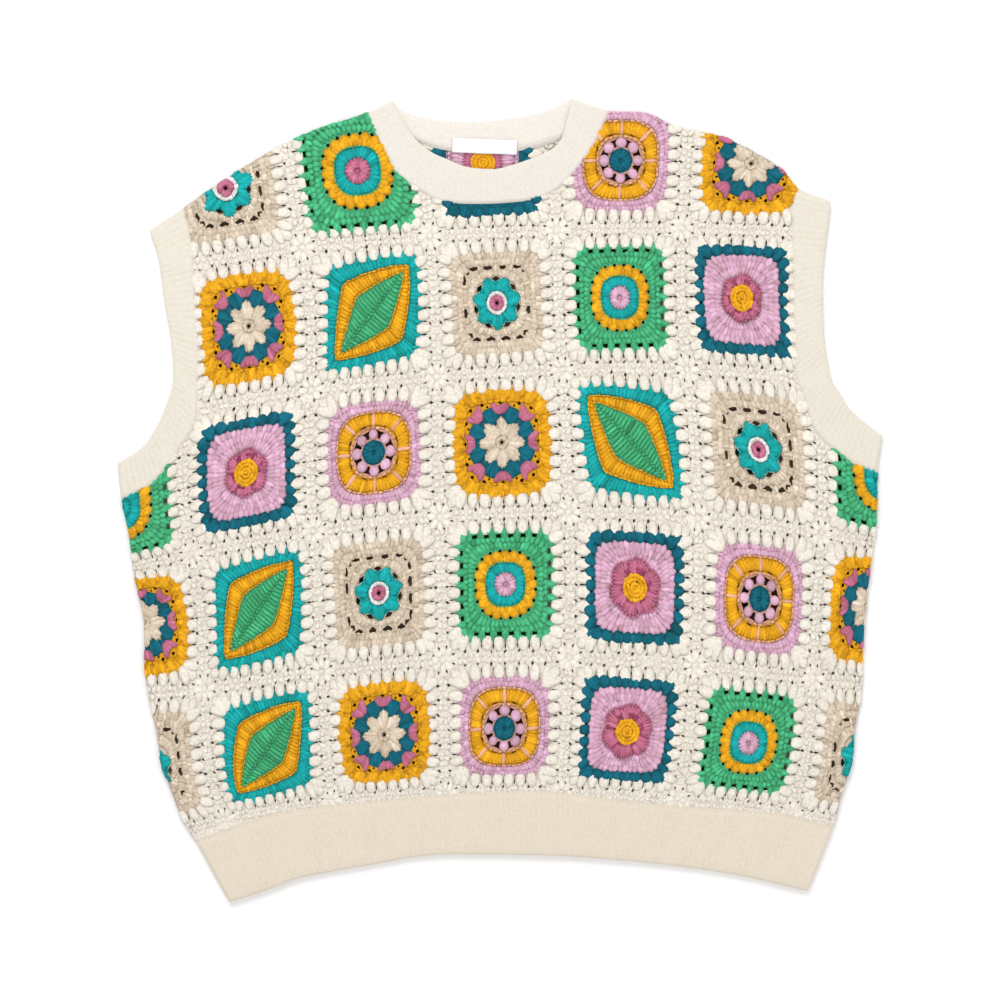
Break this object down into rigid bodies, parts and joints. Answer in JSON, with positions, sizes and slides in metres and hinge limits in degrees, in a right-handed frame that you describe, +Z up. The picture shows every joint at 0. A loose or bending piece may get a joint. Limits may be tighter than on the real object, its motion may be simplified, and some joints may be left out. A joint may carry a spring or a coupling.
{
  "type": "sweater vest",
  "caption": "Boxy granny-square crochet sweater vest with rib-knit neckband, armbands and hem band, laid flat on its back.",
  "frame": {"origin": "middle of the bounding box's underside, on the surface the vest lies on", "axes": "+X to the right as the front is seen, +Y from hem to neck, +Z up from the surface"},
  "size_m": [0.6258, 0.6572, 0.0093],
  "materials": {
    "crochet": "matte cotton crochet in cream and several colours",
    "rib": "matte cream rib knit",
    "tape": "smooth white woven tape"
  },
  "bodies": {
    "root": {"front_panel": "crochet", "back_panel": "crochet", "neckband": "rib", "armband_left": "rib", "armband_right": "rib", "hem_band": "rib", "neck_label": "tape"}
  },
  "joints": []
}
